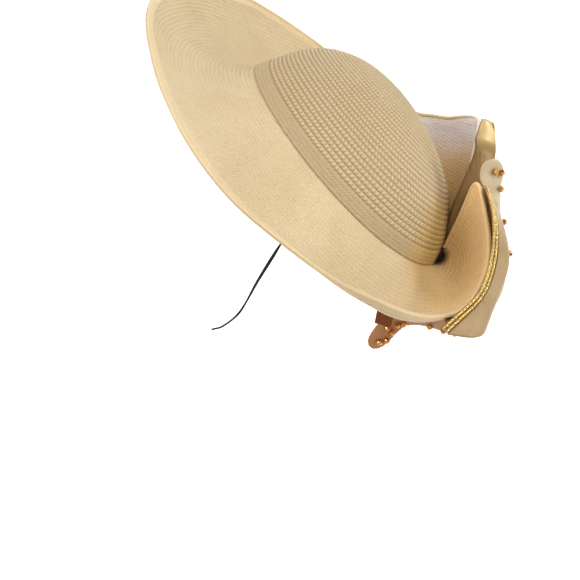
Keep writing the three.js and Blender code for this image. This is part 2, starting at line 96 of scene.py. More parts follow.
# Sash lines from the top hem to the bottom hem: back, side, up
SASH_TUCK = np.array([(85, 2, 66), (107, -11.5, 50), (131, -25, 29), (142, -43, 9), (138, -68, -6)])
SASH_LINE = np.array([(89, -21, 75), (112, -34, 66), (134, -47, 48), (147, -67, 26), (148, -95, -5)])
SASH_FOLD = np.array([(101, -15, 70), (117, -26, 66), (138, -37, 54), (152, -52, 36), (165, -83, 8)])
SASH_MID = np.array([(98.5, 0, 62), (110, 0, 56.5), (127.5, 0, 46.5), (142.5, 0, 34.5), (154, 0, 22)])
SASH_EDGE = 0.8
RIGHT_PULL = 0.5

# Painted shade at the foot of the slit and the painted golden shadow round it: where, and each one's reach
# and soft rim
SLIT_FOOT = np.array((107, -5, 6))
FOOT_REACH, FOOT_SOFT = 12, 6
GOLD_SHADOW_REACH, GOLD_SHADOW_SOFT = 62, 16

# back, side, up, wide
FOLD = np.array([
    (109, -1.5, -5, 8), (106.5, -2, 9, 8), (99.5, -2, 23, 9), (88.5, 0, 39.5, 12.5), (81, 7, 63, 20),
    (68.5, 19, 82.5, 17), (60, 29, 89.5, 16.5), (49.5, 35.5, 98.5, 8), (53.5, 39, 95, 12.5),
    (68, 28, 82, 15.5), (82, 13, 61.5, 18), (89, 4, 39, 9), (97, 1.5, 26, 4.5),
])
TAIL = np.array([
    (108.5, -7, -5, 9), (114, -13, -16, 10), (111, -25, -32, 12), (107.5, -36, -45, 14),
    (114, -42.6, -55.6, 13),
])

# back, side, up, wide, lean
SCROLL = np.array([
    (73, -15, 90.2, 5, 50), (75.5, -14.5, 88.4, 16, 50), (82.5, -12.5, 83.2, 23, 46),
    (91.5, -9.5, 77.5, 19.5, 32), (102.5, -4, 70, 12, 6), (113.5, -1, 61, 13, 4), (131.5, 0, 50.8, 14, 0),
    (146.5, 0, 37.3, 14, 0), (157, 0, 23.6, 13, 0), (162, 0, 11, 13, 0), (164, 0, -3, 13, 0),
    (162.5, 0, -17, 17, 28), (153.5, -0.5, -26.5, 21, 52), (142, -0.5, -32.5, 22, 56),
    (130, 0, -42.5, 20, 58), (122.5, 0, -54, 18, 60), (121, 0, -66, 18, 68), (122.5, 0, -78, 17, 70),
    (123.5, 0, -85.5, 13, 70), (124, 0, -89.5, 6, 70),
])

# place along the scroll, share of its half width
STONES = np.array([
    (0.095, 0.15), (0.113, 0.62), (0.171, 0.3), (0.271, 0), (0.334, 0), (0.618, 0.5), (0.65, 0.5),
    (0.7, 0.6), (0.787, 0.45), (0.813, 0.2), (0.85, 0.45), (0.847, -0.15), (0.887, 0.65), (0.913, 0.2),
])

# Chin elastic in the row frame, from inside the crown on the left, under the chin, to the right
ELASTIC = np.array([
    (-25, -78, -7), (-54, -76, -69), (-70, -74, -95), (-84, -66, -118), (-97, -44, -129),
    (-107, -15, -132.5), (-107, 15, -133), (-101, 44, -131), (-88, 66, -120), (-74, 75, -94),
    (-56, 78, -65), (12, 76, 22),
])


def in_scene(name, data):
    """A new object with this data, in the scene."""
    made = bpy.data.objects.new(name, data)
    bpy.context.scene.collection.objects.link(made)
    return made


# Camera: level, 1200 mm from the hat's middle, where half the frame spans 232 mm

lens = bpy.data.cameras.new("camera")
lens.sensor_width = 36
lens.angle = 2 * math.atan(232 / 1200)
camera = in_scene("camera", lens)
camera.location = (-0.046, -1.2, -0.1016)
camera.rotation_euler = (math.radians(90), 0, 0)
bpy.context.scene.camera = camera


# Curves and surfaces

def along(rows, place):
    """Cubic through the rows of a table: between rows i and i+1 the Hermite cubic, with each row's slope half
    the step between its two neighbours, or the whole step at an end."""
    place = np.asarray(place, float)
    slope = np.gradient(rows, axis=0)
    i = np.clip(np.floor(place).astype(int), 0, len(rows) - 2)
    t = (place - i)[..., None]
    a, b, da, db = rows[i], rows[i + 1], slope[i], slope[i + 1]
    return a + da * t + (3 * (b - a) - 2 * da - db) * t**2 + (2 * (a - b) + da + db) * t**3


def centripetal(points, t):
    """Centripetal Catmull-Rom curve through points[..., n, 3] at t from 0 to 1: knots lie the square root of
    the distance apart, and the end points are mirrored past the ends."""
    p = np.asarray(points, float)
    n = p.shape[-2]
    first = 2 * p[..., :1, :] - p[..., 1:2, :]
    last = 2 * p[..., -1:, :] - p[..., -2:-1, :]
    p = np.concatenate([first, p, last], axis=-2)
    x = np.clip(t, 0, 1) * (n - 1)
    i = np.minimum(x.astype(int), n - 2)
    w = (x - i)[..., None]
    a, b, c, d = (p[..., i + k, :] for k in range(4))

    def knot(u, v):
        return np.maximum(np.sum((u - v) ** 2, axis=-1) ** 0.25, 1e-9)[..., None]

    r, s, q = knot(a, b), knot(b, c), knot(c, d)
    tb = ((b - a) / r - (c - a) / (r + s) + (c - b) / s) * s
    tc = ((c - b) / s - (d - b) / (s + q) + (d - c) / q) * s
    return b + tb * w + (3 * (c - b) - 2 * tb - tc) * w**2 + (2 * (b - c) + tb + tc) * w**3


def size_of(v):
    """Lengths of vectors."""
    return np.linalg.norm(v, axis=-1)


def unit(v):
    """Vectors divided by their lengths."""
    return v / np.maximum(size_of(v), 1e-9)[..., None]


def lengths_along(points, axis=0):
    """Arc length from the first point, along an axis of a grid of points."""
    step = size_of(np.diff(points, axis=axis))
    return np.insert(np.cumsum(step, axis=axis), 0, 0, axis=axis)


def heading(rows, place, step=0.05):
    """Unit direction of a table's line at a place, from a step behind it to a step ahead."""
    ahead, behind = np.minimum(place + step, len(rows) - 1), np.maximum(place - step, 0)
    return unit(along(rows, ahead)[..., :3] - along(rows, behind)[..., :3])


def area(grid):
    """Square metres of a grid in mm: the sum over its cells of |step one way x step the other way|."""
    return size_of(np.cross(np.diff(grid, axis=0)[:, :-1], np.diff(grid, axis=1)[:-1])).sum() / 1e6


def uv_grid(u, v):
    """The rows' coordinates at each point of a grid, as pairs."""
    return np.stack(np.broadcast_arrays(u, v), axis=-1)


def circle_angles(sides):
    """Even angles once round a section, in radians."""
    return 2 * np.pi * np.arange(sides) / sides


def round_turns(columns):
    """Turns from 180 degrees down, evenly once round the hat."""
    return 180 - 360 * np.arange(columns) / columns


def normals(grid, wrap=False):
    """Unit normal of a grid of points: (step along the first axis) x (step along the second)."""
    if wrap:
        padded = np.concatenate([grid[-1:], grid, grid[:1]])
        du = (padded[2:] - padded[:-2]) / 2
    else:
        du = np.gradient(grid, axis=0)
    dv = np.gradient(grid, axis=1)
    return unit(np.cross(du, dv))


def to_row(points):
    """Millimetres in the hat's frame to metres in the row frame."""
    return points @ HAT_TO_ROW.T / 1000


def opening(turn, size=1.0, margin=0.0):
    """Egg of the head opening: (-long cos, -wide sin (1 - EGG cos)) of the turn, and its outward normal."""
    angle = np.radians(turn)

    def at(x):
        return np.stack([
            -(OPENING_LONG * size + margin) * np.cos(x),
            -(OPENING_WIDE * size + margin) * np.sin(x) * (1 - EGG * np.cos(x)),
            0 * x * size,
        ], axis=-1)

    run = at(angle + 0.01) - at(angle - 0.01)
    out = unit(np.stack([run[..., 1], -run[..., 0], 0 * run[..., 0]], axis=-1))
    return at(angle), out


def crown_surface(turn, level, margin=0.0):
    """The opening's egg, shrunk, moved back and lifted by the crown table at that level."""
    row = along(CROWN, level)
    point, _ = opening(turn, row[..., 1], margin)
    point = point.copy()
    point[..., 0] += row[..., 2]
    point[..., 2] += row[..., 0] * CROWN_HEIGHT
    return point


def brim_surface(place, t):
    """Quadratic Bezier from the crown's seam, BRIM_ROOT further out where the brim leaves it steeply, to the
    brim's edge, with its middle point reached at the slope that the brim leaves the crown with, less a sag
    of belly times 6.75 t^2 (1 - t)."""
    row = along(BRIM, place)
    leave = np.radians(row[..., 4])
    root, out = opening(row[..., 0])
    root = root + out * (BRIM_ROOT * np.sin(leave))[..., None]
    root[..., 2] = -GAP - WALL / 2 * np.cos(leave)
    bend = root + out * (row[..., 5] * np.cos(leave))[..., None]
    bend[..., 2] += row[..., 5] * np.sin(leave)
    edge = row[..., 1:4]
    edge = edge - unit(edge - bend) * (2 * BEAD_RADIUS + GAP)
    t1 = t[..., None]
    point = root * (1 - t1) ** 2 + bend * 2 * t1 * (1 - t1) + edge * t1**2
    point[..., 2] -= row[..., 6] * 6.75 * t**2 * (1 - t)
    return point


def corner(place):
    """How far the brim reaches at a place near a lip of the slit, and how far round the corner that lies: a
    quarter circle of CORNER mm cut from the edge."""
    last = len(BRIM) - 1
    place = np.asarray(place, float)
    lip = np.where(place < last / 2, 0.0, float(last))
    one = np.ones_like(place)
    away = size_of(brim_surface(place, one) - brim_surface(lip, one))
    k = np.clip(1 - away / CORNER, 0, 1)
    span = size_of(brim_surface(lip, one) - brim_surface(lip, 0 * one))
    return 1 - CORNER * (1 - np.sqrt(1 - k**2)) / span, 2 * np.arcsin(k) / np.pi


# Meshes

def make(name, points, faces, uv=None, masks=None, smooth=True, slots=None, period=None):
    """A mesh object from row-frame points and faces, with a UV for each vertex and named vertex masks. Where
    u starts again after a period, each face's corners move by whole periods to lie by its first corner."""
    mesh = bpy.data.meshes.new(name)
    mesh.from_pydata(points, [], faces)
    if uv is not None:
        corner_vertex = np.empty(len(mesh.loops), np.int32)
        mesh.loops.foreach_get("vertex_index", corner_vertex)
        corner_uv = uv[corner_vertex].astype(np.float32)
        if period:
            start, total = (np.empty(len(mesh.polygons), np.int32) for _ in range(2))
            mesh.polygons.foreach_get("loop_start", start)
            mesh.polygons.foreach_get("loop_total", total)
            first = np.repeat(corner_uv[start, 0], total)
            corner_uv[:, 0] -= np.round((corner_uv[:, 0] - first) / period) * period
        mesh.uv_layers.new(name="rows").data.foreach_set("uv", corner_uv.ravel())
    for key, value in (masks or {}).items():
        mesh.attributes.new(key, "FLOAT", "POINT").data.foreach_set("value", value.astype(np.float32))
    mesh.polygons.foreach_set("use_smooth", np.full(len(mesh.polygons), smooth))
    if slots is not None:
        mesh.polygons.foreach_set("material_index", slots)
    mesh.validate()
    mesh.update()
    return in_scene(name, mesh)


def quads(ids, wrap=False):
    """Faces between neighbours of a grid of vertex numbers, facing along first axis x second axis."""
    if wrap:
        ids = np.concatenate([ids, ids[:1]])
    return np.stack([ids[:-1, :-1], ids[1:, :-1], ids[1:, 1:], ids[:-1, 1:]], axis=-1).reshape(-1, 4)


def shell(name, front, back, uv, masks=None, wrap=False, pole=False, period=None):
    """A closed body between two equal grids of hat-frame points: the front faces along first axis x second,
    the back the other way, and strips close the rims. A mask is one grid for both, or a pair. pole welds the
    last column of each into one point."""
    nu, nv = front.shape[:2]
    ids = np.arange(nu * nv).reshape(nu, nv)
    back_ids = ids + nu * nv
    rim = np.stack([ids, back_ids], axis=-1)
    faces = [quads(ids, wrap), quads(back_ids, wrap)[:, ::-1], quads(rim[:, 0], wrap)[:, ::-1]]
    if not pole:
        faces.append(quads(rim[:, -1], wrap))
    if not wrap:
        faces += [quads(rim[0]), quads(rim[-1])[:, ::-1]]
    points = to_row(np.concatenate([front.reshape(-1, 3), back.reshape(-1, 3)]))
    both = {}
    for key, value in (masks or {}).items():
        pair = value if isinstance(value, tuple) else (value, value)
        both[key] = np.concatenate([(one + 0 * uv[..., 0]).ravel() for one in pair])
    each_uv = np.tile(uv.reshape(-1, 2), (2, 1))
    made = make(name, points, np.concatenate(faces), each_uv, both, period=period)
    if pole:
        bm = bmesh.new()
        bm.from_mesh(made.data)
        bm.verts.ensure_lookup_table()
        ring = [bm.verts[i] for i in np.concatenate([ids[:, -1], back_ids[:, -1]])]
        bmesh.ops.remove_doubles(bm, verts=ring, dist=1e-6)
        bm.to_mesh(made.data)
        bm.free()
    return made


def tube(name, rings, uv, in_row=False, masks=None):
    """A closed body through rings[i, k], with the ends closed by fans, a UV for each ring point and masks
    that give each ring one value."""
    n, sides = rings.shape[:2]
    ids = np.arange(n * sides).reshape(n, sides)
    centres = rings[[0, -1]].mean(axis=1)
    points = np.concatenate([rings.reshape(-1, 3), centres])
    faces = quads(ids.T, wrap=True)[:, ::-1].tolist()
    follow = np.roll(np.arange(sides), -1)
    start, end = n * sides, n * sides + 1
    faces += np.stack([np.full(sides, start), ids[0][follow], ids[0]], axis=1).tolist()
    faces += np.stack([np.full(sides, end), ids[-1], ids[-1][follow]], axis=1).tolist()
    uv = np.concatenate([uv.reshape(-1, 2), uv[[0, -1], 0]])
    each = {
        key: np.concatenate([np.repeat(value, sides), value[[0, -1]]]) for key, value in (masks or {}).items()
    }
    return make(name, points / 1000 if in_row else to_row(points), faces, uv, each)


def rings_round(middle, across, wide, up, tall, sides):
    """Ellipses round the points of a line: middle + across wide cos a + up tall sin a."""
    a = circle_angles(sides)
    wide = np.broadcast_to(wide, middle.shape[:1] + (sides,))
    tall = np.broadcast_to(tall, middle.shape[:1] + (sides,))
    return (
        middle[:, None]
        + across[:, None] * (wide * np.cos(a))[..., None]
        + up[:, None] * (tall * np.sin(a))[..., None]
    )


def ridge(x, power=0.7):
    """Rounded ridge, one for each whole step of x."""
    return np.abs(np.sin(np.pi * x)) ** power


def ripple(u, v, seed, size):
    """Smooth unevenness: the mean of seven sine waves in seeded directions, in the units of u and v."""
    waves = 7
    rng = np.random.default_rng(seed)
    angle = rng.uniform(0, 2 * np.pi, waves)
    k = 2 * np.pi / size * rng.uniform(0.6, 1.5, waves)
    phase = rng.uniform(0, 2 * np.pi, waves)
    total = 0
    for a, b, c in zip(angle, k, phase):
        total = total + np.sin(b * (u * np.cos(a) + v * np.sin(a)) + c)
    return total / waves


def meridian(turn, margin):
    """The crown's section at one turn, from CROWN_LOW up to its highest point."""
    level = np.linspace(CROWN_LOW, len(CROWN) - 1, 1500)
    return crown_surface(np.full_like(level, turn), level, margin)


def crown_rays(centre, one, two, turn, margin):
    """Where rays in the planes spanned by one and two leave the crown: on each ray the reach is halved in
    on between inside and outside. A point is inside when it lies within the egg of its own height."""
    angle = np.radians(turn)
    ray = -np.cos(angle)[:, None, None] * one - np.sin(angle)[:, None, None] * two
    low, high = np.zeros(ray.shape[:2]), np.full(ray.shape[:2], 140.0)
    fine = np.linspace(0, len(CROWN) - 1, 4000)
    up, size, back = along(CROWN, fine).T
    for _ in range(34):
        reach = (low + high) / 2
        p = centre + ray * reach[..., None]
        share = np.interp(p[..., 2] / CROWN_HEIGHT, up, size, right=-1.0)
        x = p[..., 0] - np.interp(p[..., 2] / CROWN_HEIGHT, up, back)
        long = np.maximum(OPENING_LONG * share + margin, 1e-6)
        wide = np.maximum(OPENING_WIDE * share + margin, 1e-6) * (1 - EGG * np.clip(-x / long, -1, 1))
        inside = ((x / long) ** 2 + (p[..., 1] / wide) ** 2 < 1) & (share > 0)
        low, high = np.where(inside, reach, low), np.where(inside, high, reach)
    return centre + ray * ((low + high) / 2)[..., None]


def crown_rows(margin, steps, columns):
    """Grid of points on the crown, columns round and steps up, and each column's turn. The rows are plane
    sections that turn from the level of the band to the level of the tip, which lies to the right of the
    highest point: each passes through a point of the left meridian, carried on over the top, and one of the
    right meridian, both spaced evenly."""
    left, right = meridian(90.0, margin), meridian(-90.0, margin)
    run = lengths_along(right)
    stop = np.searchsorted(run, run[-1] - TIP_ASIDE)
    left = np.concatenate([left, right[:stop:-1]])
    right = right[:stop + 1]
    share = np.linspace(0, 1, steps + 1)
    share[-1] = 0.9995
    a, b = (
        np.stack([np.interp(share * run[-1], run, line[:, k]) for k in range(3)], axis=1)
        for run, line in ((lengths_along(left), left), (lengths_along(right), right))
    )
    one = np.broadcast_to(np.array((1.0, 0, 0)), a.shape)
    two = b - a
    two[:, 0] = 0
    turn = round_turns(columns)
    points = crown_rays((a + b) / 2, one, unit(two), turn, margin)
    points[:, -1] = (a[-1] + b[-1]) / 2
    return points, turn


# Node helpers

TURN = 2 * math.pi


class Value:
    """A socket that stands in a formula: each +, - or * with another or with a number adds a Math node."""

    def __init__(self, tree, socket):
        self.tree, self.socket = tree, socket

    def __add__(self, other):
        return self.tree.math("ADD", self, other)

    def __mul__(self, other):
        return self.tree.math("MULTIPLY", self, other)

    def __sub__(self, other):
        return self.tree.math("SUBTRACT", self, other)

    def __rsub__(self, other):
        return self.tree.math("SUBTRACT", other, self)


class Tree:
    """Adds nodes to a tree and hands back values and sockets, so that a formula reads as one line."""

    def __init__(self, tree):
        self.tree = tree

    def node(self, kind, *values, **settings):
        """Adds a node with these settings, and puts the values into its first sockets."""
        made = self.tree.nodes.new(kind)
        for key, value in settings.items():
            setattr(made, key, value)
        for socket, value in zip(made.inputs, values):
            self.put(socket, value)
        return made

    def put(self, socket, value):
        """Links a value or socket into a socket, or sets a number or colour on it."""
        value = value.socket if isinstance(value, Value) else value
        if isinstance(value, bpy.types.NodeSocket):
            self.tree.links.new(value, socket)
        else:
            socket.default_value = value

    def math(self, operation, *values, clamp=False):
        made = self.node("ShaderNodeMath", *values, operation=operation, use_clamp=clamp)
        return Value(self, made.outputs[0])

    def span(self, value, low, high, to_low=0.0, to_high=1.0):
        """Smooth step from one value to the other as value goes from low to high."""
        ends = (low, high, to_low, to_high)
        made = self.node("ShaderNodeMapRange", value, *ends, interpolation_type="SMOOTHSTEP")
        return Value(self, made.outputs[0])

    def mix(self, factor, a, b):
        made = self.node("ShaderNodeMix", data_type="RGBA")
        for index, value in ((0, factor), (6, a), (7, b)):
            self.put(made.inputs[index], value)
        return made.outputs[2]

    def noise(self, vector, scale, detail):
        made = self.node("ShaderNodeTexNoise")
        for key, value in (("Vector", vector), ("Scale", scale), ("Detail", detail)):
            self.put(made.inputs[key], value)
        return Value(self, made.outputs["Fac"])

    def vector(self, x, y):
        return self.node("ShaderNodeCombineXYZ", x, y).outputs[0]

    def uv(self):
        made = self.node("ShaderNodeUVMap", uv_map="rows")
        split = self.node("ShaderNodeSeparateXYZ", made.outputs[0])
        return Value(self, split.outputs[0]), Value(self, split.outputs[1])

    def mask(self, name):
        return Value(self, self.node("ShaderNodeAttribute", attribute_name=name).outputs["Fac"])

    def place(self):
        return self.node("ShaderNodeTexCoord").outputs["Object"]

    def bump(self, height, distance):
        made = self.node("ShaderNodeBump")
        made.inputs["Distance"].default_value = distance
        self.put(made.inputs["Height"], height)
        return made.outputs[0]


def group(name, inputs, outputs):
    """A shader node group with named value sockets, and the tree and sockets to fill it in with."""
    made = bpy.data.node_groups.new(name, "ShaderNodeTree")
    for side, keys in (("INPUT", inputs), ("OUTPUT", outputs)):
        for key in keys:
            made.interface.new_socket(key, in_out=side, socket_type="NodeSocketFloat")
    tree = Tree(made)
    inside = {x.name: Value(tree, x) for x in tree.node("NodeGroupInput").outputs if x.name}
    out = tree.node("NodeGroupOutput")
    return made, tree, inside, out


def use(tree, which, **values):
    """Places a group and gives back its outputs by name."""
    made = tree.node("ShaderNodeGroup", node_tree=which)
    for key, value in values.items():
        tree.put(made.inputs[key], value)
    return {x.name: Value(tree, x) for x in made.outputs}


def material(name, **values):
    """A material with one Principled shader, whose even values are set on its own sockets. Underscores in a
    name stand for spaces."""
    made = bpy.data.materials.new(name)
    made.use_nodes = True
    tree = Tree(made.node_tree)
    shader = made.node_tree.nodes["Principled BSDF"]
    for key, value in values.items():
        shader.inputs[key.replace("_", " ")].default_value = value
    return made, tree, shader.inputs


def build_braid():
    """Sewn braid. Row counts the rows across, Along the plait's stitches along a row. Each row is a rounded
    ridge whose sides wave by Wave of a row with the stitches, cut into stitches that lean to both sides of
    its middle; each row is shifted by a seeded share. Height is the relief, Groove is 1 between rows and,
    less, between stitches, Straw is the streak of single straws."""
    made, t, i, out = group(
        "braid", ("Row", "Along", "Lean", "Stitch", "Wave"), ("Height", "Groove", "Straw")
    )
    waved = i["Row"] + t.math("SINE", i["Along"] * TURN) * i["Wave"]
    share = t.math("FRACT", waved)
    middle = t.math("ABSOLUTE", share - 0.5)
    chance = t.node("ShaderNodeTexWhiteNoise", noise_dimensions="1D")
    t.put(chance.inputs["W"], t.math("FLOOR", waved))
    shift = i["Along"] + chance.outputs["Value"]
    stitch = t.math("FRACT", shift + middle * i["Lean"])
    bead = t.math("POWER", t.math("SINE", stitch * math.pi), 0.6)
    ridge_height = t.math("POWER", t.math("SINE", share * math.pi), 0.6)
    cut = 1.0 - i["Stitch"] * (1.0 - bead)
    fine = t.noise(t.vector(shift * 1.5, i["Row"] * 6.0), 1.6, 4.0)
    t.put(out.inputs["Height"], ridge_height * cut + fine * 0.15)
    between = t.span(ridge_height, 0.3, 0.85, 1.0, 0.0)
    notch = (1.0 - bead) * i["Stitch"] * 0.45
    t.put(out.inputs["Groove"], t.math("MAXIMUM", between, notch))
    t.put(out.inputs["Straw"], fine)
    return made


def build_weave():
    """Satin face: a sine of the warp's floats plus half a sine of the slanting cross thread. Height is the
    relief, Shade the long streaks of thicker thread."""
    made, t, i, out = group("satin", ("U", "V"), ("Height", "Shade"))
    warp = t.math("SINE", i["U"] * 9.0)
    weft = t.math("SINE", i["V"] * 7.0 + i["U"] * 3.5)
    t.put(out.inputs["Height"], warp + weft * 0.5)
    t.put(out.inputs["Shade"], t.noise(t.vector(i["U"] * 1.2, i["V"] * 0.08), 1.0, 4.0))
    return made


def build_unevenness():
    """Slow unevenness of a colour over the whole object, on its own coordinates."""
    made, t, i, out = group("unevenness", ("Scale",), ("Fac",))
    t.put(out.inputs["Fac"], t.noise(t.place(), i["Scale"], 3.0))
    return made


BRAID, WEAVE, UNEVEN = build_braid(), build_weave(), build_unevenness()
PALE_STRAW = (0.75, 0.62, 0.41, 1)
# The crown's straw, darker than the brim's: painted shade on the crown
SHADED_CROWN_STRAW = (0.61, 0.5, 0.325, 1)
BAND_STRAW = (0.48, 0.385, 0.245, 1)
WARM_STRAW = (0.56, 0.43, 0.25, 1)
# Colour that the grooves, the hem's seam and the band's rims are darkened towards: painted shade
SHADE_AND_SEAM_STRAW = (0.3, 0.17, 0.06, 1)
# Painted golden shadow round the slit's foot
GOLD_SHADOW_STRAW = (0.55, 0.37, 0.13, 1)
# Painted warm reflected light on the near flap, and a lighter tone on the far one
PEACH_LIGHT_STRAW = (0.86, 0.6, 0.3, 1)
# Painted lilac sheen along the far flap's lip
LILAC_SHEEN_STRAW = (0.98, 0.93, 0.97, 1)
# Painted shade at the foot of the slit
SHADE_STRAW = (0.035, 0.01, 0.002, 1)


def straw(name, stitches, lean, stitch, wave, relief, groove, pale=PALE_STRAW, border=False, rims=False):
    """Straw: braid whose rows count up with v, with stitches(t) counted along them. Unevenness and single
    straws mix pale with the warm tone. Masks paint light and shade round the slit: warm reflected light on
    the near flap, a lilac sheen along the far flap's lip giving way to a lighter peach tone, the golden
    shadow round the slit's foot and the shade at the foot itself. Painted shade darkens the grooves by
    groove, and the hem's seam and the band's rims with them. border adds the brim's flat hem, its seam and
    its hammered face, rims the band's dark edges."""
    made, t, shader = material(name, Sheen_Weight=0.08, Sheen_Roughness=0.5, Specular_IOR_Level=0.3)
    braid = use(t, BRAID, Row=t.uv()[1], Along=stitches(t), Lean=lean, Stitch=stitch, Wave=wave)
    height, shade_and_seam, fine = braid["Height"], braid["Groove"], braid["Straw"]
    uneven = use(t, UNEVEN, Scale=16.0)["Fac"]
    colour = t.mix(t.span(uneven, 0.35, 0.7) * 0.4, pale, WARM_STRAW)
    colour = t.mix(t.span(fine, 0.4, 0.75) * 0.4, colour, WARM_STRAW)
    edge = t.mask("edge")
    # Painted light on the flaps: warm reflected light on the near flap; on the far flap a lilac sheen by its
    # lip that gives way to a lighter peach tone
    colour = t.mix(t.mask("near_flap_warm_light"), colour, PEACH_LIGHT_STRAW)
    far_flap_paint = t.mix(t.span(edge, 14.0, 48.0), LILAC_SHEEN_STRAW, PEACH_LIGHT_STRAW)
    colour = t.mix(t.mask("far_flap_light"), colour, far_flap_paint)
    if border:
        inside = t.span(edge, HEM - 0.2, HEM + 1.4)
        seam = (1.0 - t.span(t.math("ABSOLUTE", edge - (HEM + 0.8)), 0.1, 0.6)) * 0.5
        height = height * (inside * 0.65 + 0.35) - seam
        shade_and_seam = t.math("MAXIMUM", shade_and_seam * inside, seam)
        # Lighter grooves where the flaps' light is painted
        for lip, less in (("near_flap_warm_light", 0.7), ("far_flap_light", 0.6)):
            shade_and_seam = shade_and_seam * (1.0 - t.mask(lip) * less)
        hammered = t.noise(t.place(), 620.0, 2.0)
        height = height * (t.mask("front") * 0.6 + 1.0) + hammered * 2.0
        shade_and_seam = shade_and_seam * (t.mask("front") * 0.3 + 1.0)
        colour = t.mix(t.span(hammered, 0.45, 0.3) * 0.45, colour, WARM_STRAW)
    # Painted golden shadow round the slit's foot
    colour = t.mix(t.mask("glow"), colour, GOLD_SHADOW_STRAW)
    if rims:
        rim = t.span(t.math("ABSOLUTE", t.uv()[1] - 2.0), 1.86, 2.0)
        shade_and_seam = rim * 0.6 + shade_and_seam * 0.3
        height = height + t.noise(t.place(), 500.0, 2.0) * 2.0
    # Painted shade in the grooves, along the hem's seam and at the band's rims
    colour = t.mix(t.math("MULTIPLY", shade_and_seam, groove, clamp=True), colour, SHADE_AND_SEAM_STRAW)
    # Painted shade at the foot of the slit
    colour = t.mix(t.mask("foot"), colour, SHADE_STRAW)
    t.put(shader["Base Color"], colour)
    t.put(shader["Roughness"], shade_and_seam * 0.25 + 0.5)
    t.put(shader["Normal"], t.bump(height, relief))
    return made


def crown_stitches(t):
    """Stitches counted along a row: the turn's share times a whole number that falls towards the tip."""
    u, v = t.uv()
    share = t.math("DIVIDE", t.math("FLOOR", v), float(CROWN_COUNT))
    size = t.math("POWER", 1.0 - t.math("POWER", share, 2.2), 0.7)
    return u * t.math("MAXIMUM", t.math("ROUND", size * 140.0), 8.0)


def brim_stitches(t):
    """Stitches along the brim: u times 300 and 12 more for each row outwards."""
    u, v = t.uv()
    return u * (t.math("FLOOR", v) * 12.0 + 300.0)


def even_stitches(count):
    """The same number of stitches for each step of u."""
    return lambda t: t.uv()[0] * count


straw_crown = straw("straw_crown", crown_stitches, 0.5, 0.9, 0.035, 0.0012, 0.6, SHADED_CROWN_STRAW)
straw_band = straw("straw_band", even_stitches(240.0), 1.2, 0.7, 0.1, 0.0005, 0.3, BAND_STRAW, rims=True)
straw_brim = straw("straw_brim", brim_stitches, 1.0, 0.9, 0.12, 0.0005, 0.08, border=True)
straw_bead = straw("straw_bead", even_stitches(0.35), 0.6, 0.3, 0.0, 0.0001, 0.2)


CREASE_SHADE_BROWN = (0.1, 0.045, 0.012, 1)


def cloth(name, light, dark, roughness, metallic, weave, low=None, fades=(0, 1), sheen=0.1):
    """Satin: light and dark are mixed by its slubs and slow unevenness; low takes over between two distances
    along the cloth, a painted tone: the highlight at the top of the gold fold and the shade down the scroll.
    The crease mask paints shade along an edge that is folded in."""
    made, t, shader = material(name, Metallic=metallic, Sheen_Weight=sheen)
    u, v = t.uv()
    satin = use(t, WEAVE, U=u, V=v)
    uneven = use(t, UNEVEN, Scale=30.0)["Fac"]
    shade = (satin["Shade"] + uneven) * 0.5
    colour = t.mix(t.span(shade, 0.3, 0.7), light, dark)
    # Painted light and shade along the cloth's length
    if low:
        colour = t.mix(t.span(v, *fades), colour, low)
    # Painted shade along a folded-in edge
    colour = t.mix(t.mask("crease"), colour, CREASE_SHADE_BROWN)
    t.put(shader["Base Color"], colour)
    t.put(shader["Roughness"], shade * 0.14 + (roughness - 0.06))
    t.put(shader["Normal"], t.bump(satin["Height"], weave))
    return made


# The top of the fold painted lighter gold: a painted highlight
gold_satin = cloth(
    "gold_satin", (0.26, 0.16, 0.055, 1), (0.18, 0.1, 0.03, 1), 0.38, 0.3, 0.00001,
    low=(0.62, 0.48, 0.24, 1), fades=(100, 128),
)
panel_satin = cloth("panel_satin", (0.37, 0.265, 0.14, 1), (0.3, 0.2, 0.09, 1), 0.4, 0.15, 0.00003)
# The tail is the gold satin with its shade painted in, dark brown
shaded_gold_satin = cloth(
    "shaded_gold_satin", (0.2, 0.05, 0.006, 1), (0.13, 0.03, 0.003, 1), 0.5, 0.0, 0.00003, sheen=0.0
)
# The lower scroll painted brown: painted shade
cream_satin = cloth(
    "cream_satin", (0.53, 0.44, 0.3, 1), (0.46, 0.37, 0.24, 1), 0.34, 0.0, 0.00003,
    low=(0.43, 0.2, 0.085, 1), fades=(110, 190),
)


def slanting(t, u, v, strands):
    """Sine that turns strands times round the cord and once for each step of v."""
    return t.math("SINE", (u * strands + v) * TURN)


def gold_cord():
    """Metallic cord: three slanting strands under a fine glitter of light and dark gold."""
    made, t, shader = material("gold_piping", Metallic=0.85)
    u, v = t.uv()
    glint = t.noise(t.vector(u * 9.0, v * 9.0), 1.0, 2.0)
    gold = t.mix(t.span(glint, 0.4, 0.62), (0.26, 0.15, 0.035, 1), (0.8, 0.6, 0.26, 1))
    t.put(shader["Base Color"], gold)
    t.put(shader["Roughness"], t.span(glint, 0.3, 0.7, 0.42, 0.2))
    t.put(shader["Normal"], t.bump(slanting(t, u, v, 3.0) + glint, 0.0001))
    return made


def elastic_cover():
    """Black plait: the product of two sines that slant round the cord in opposite ways."""
    made, t, shader = material("black_elastic")
    u, v = t.uv()
    plait = slanting(t, u, v, 6.0) * slanting(t, u, v * -1.0, 6.0)
    black = t.mix(t.span(plait, -0.6, 0.8), (0.006, 0.005, 0.004, 1), (0.012, 0.009, 0.008, 1))
    t.put(shader["Base Color"], black)
    t.put(shader["Roughness"], t.span(plait, -1.0, 1.0, 0.95, 0.8))
    t.put(shader["Normal"], t.bump(plait, 0.00003))
    return made


